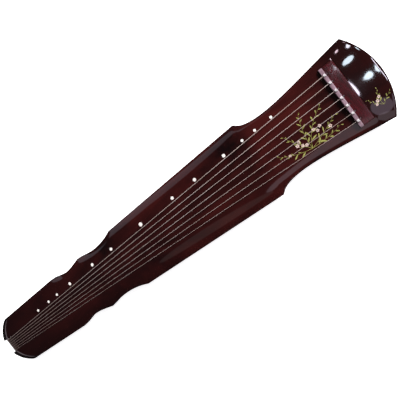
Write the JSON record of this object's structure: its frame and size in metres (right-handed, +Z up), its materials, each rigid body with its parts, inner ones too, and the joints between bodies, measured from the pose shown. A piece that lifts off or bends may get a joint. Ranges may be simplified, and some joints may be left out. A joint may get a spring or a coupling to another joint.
{
  "type": "guqin",
  "caption": "Long plucked zither with an arched lacquered body, cut-in neck and waist, bridge at the head, inlaid position studs, turning pegs below and strings wound round two feet.",
  "frame": {"origin": "on the ground, below the middle of the instrument's length and width", "axes": "+X runs along the instrument to the head, +Y across to the side with the studs, +Z up"},
  "size_m": [1.246, 0.209, 0.098],
  "materials": {
    "red_black_lacquer": "glossy dark red-brown lacquer over paulownia and catalpa",
    "dark_hardwood": "polished dark rosewood",
    "raw_wood": "bare planed softwood",
    "wound_string": "pale wound string, slightly glossy",
    "silk_cord": "twisted silk cord",
    "mother_of_pearl": "polished shell, ground flush"
  },
  "bodies": {
    "root": {"top_board": "red_black_lacquer", "bottom_board": "red_black_lacquer", "bridge": "dark_hardwood", "dew_collector": "dark_hardwood", "tail_nut": "dark_hardwood", "nut_support": "dark_hardwood", "crown_corner_far": "dark_hardwood", "crown_corner_near": "dark_hardwood", "peg_pool_plate": "dark_hardwood", "peg_guard_far": "dark_hardwood", "peg_guard_near": "dark_hardwood", "goose_foot_far": "dark_hardwood", "goose_foot_near": "dark_hardwood", "foot_socket_far": "dark_hardwood", "foot_socket_near": "dark_hardwood", "sound_post_round": "raw_wood", "sound_post_square": "raw_wood", "string_1": "wound_string", "string_2": "wound_string", "string_3": "wound_string", "string_4": "wound_string", "string_5": "wound_string", "string_6": "wound_string", "string_7": "wound_string", "silk_loop_1": "silk_cord", "silk_loop_2": "silk_cord", "silk_loop_3": "silk_cord", "silk_loop_4": "silk_cord", "silk_loop_5": "silk_cord", "silk_loop_6": "silk_cord", "silk_loop_7": "silk_cord", "stud_01": "mother_of_pearl", "stud_02": "mother_of_pearl", "stud_03": "mother_of_pearl", "stud_04": "mother_of_pearl", "stud_05": "mother_of_pearl", "stud_06": "mother_of_pearl", "stud_07": "mother_of_pearl", "stud_08": "mother_of_pearl", "stud_09": "mother_of_pearl", "stud_10": "mother_of_pearl", "stud_11": "mother_of_pearl", "stud_12": "mother_of_pearl", "stud_13": "mother_of_pearl"},
    "peg_1": {"tuning_peg_1": "dark_hardwood"},
    "peg_2": {"tuning_peg_2": "dark_hardwood"},
    "peg_3": {"tuning_peg_3": "dark_hardwood"},
    "peg_4": {"tuning_peg_4": "dark_hardwood"},
    "peg_5": {"tuning_peg_5": "dark_hardwood"},
    "peg_6": {"tuning_peg_6": "dark_hardwood"},
    "peg_7": {"tuning_peg_7": "dark_hardwood"}
  },
  "joints": [
    {"name": "peg_turn_1", "type": "hinge", "parent": "root", "child": "peg_1", "pos_m": [0.5282, 0.06019, 0.02], "axis": [0, 0, 1], "continuous": true},
    {"name": "peg_turn_2", "type": "hinge", "parent": "root", "child": "peg_2", "pos_m": [0.5282, 0.04013, 0.02], "axis": [0, 0, 1], "continuous": true},
    {"name": "peg_turn_3", "type": "hinge", "parent": "root", "child": "peg_3", "pos_m": [0.5282, 0.02006, 0.02], "axis": [0, 0, 1], "continuous": true},
    {"name": "peg_turn_4", "type": "hinge", "parent": "root", "child": "peg_4", "pos_m": [0.5282, 0, 0.02], "axis": [0, 0, 1], "continuous": true},
    {"name": "peg_turn_5", "type": "hinge", "parent": "root", "child": "peg_5", "pos_m": [0.5282, -0.02006, 0.02], "axis": [0, 0, 1], "continuous": true},
    {"name": "peg_turn_6", "type": "hinge", "parent": "root", "child": "peg_6", "pos_m": [0.5282, -0.04013, 0.02], "axis": [0, 0, 1], "continuous": true},
    {"name": "peg_turn_7", "type": "hinge", "parent": "root", "child": "peg_7", "pos_m": [0.5282, -0.06019, 0.02], "axis": [0, 0, 1], "continuous": true}
  ]
}
